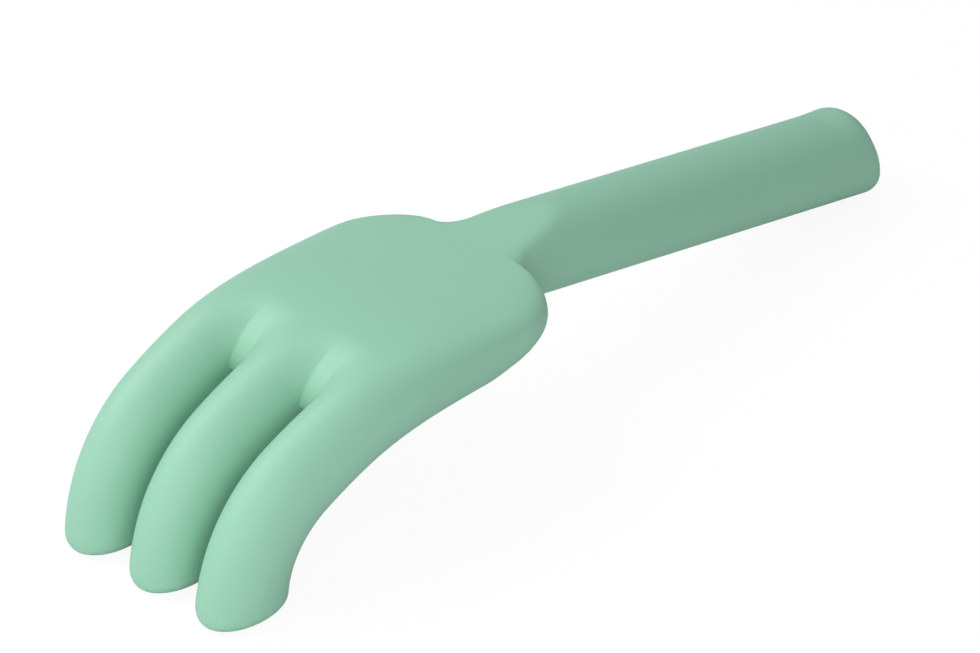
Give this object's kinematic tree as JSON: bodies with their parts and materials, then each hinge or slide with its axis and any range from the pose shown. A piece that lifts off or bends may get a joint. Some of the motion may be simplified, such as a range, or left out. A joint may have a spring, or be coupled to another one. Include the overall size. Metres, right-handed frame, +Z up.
{
  "type": "sand rake",
  "caption": "Hand rake for sand: a straight round handle, a broad soft-edged palm and thick fingers that curve down to blunt ends; hollow, moulded in plastic.",
  "frame": {"origin": "on the floor under the middle of the length, with the fingertips and the butt of the handle on the floor", "axes": "+X from the butt of the handle to the fingers, +Y across, +Z up from the floor"},
  "size_m": [0.247, 0.0656, 0.0475],
  "materials": {
    "mint_plastic": "satin, fine moulded grain"
  },
  "bodies": {
    "root": {"upper_shell": "mint_plastic", "lower_shell": "mint_plastic"}
  },
  "joints": []
}
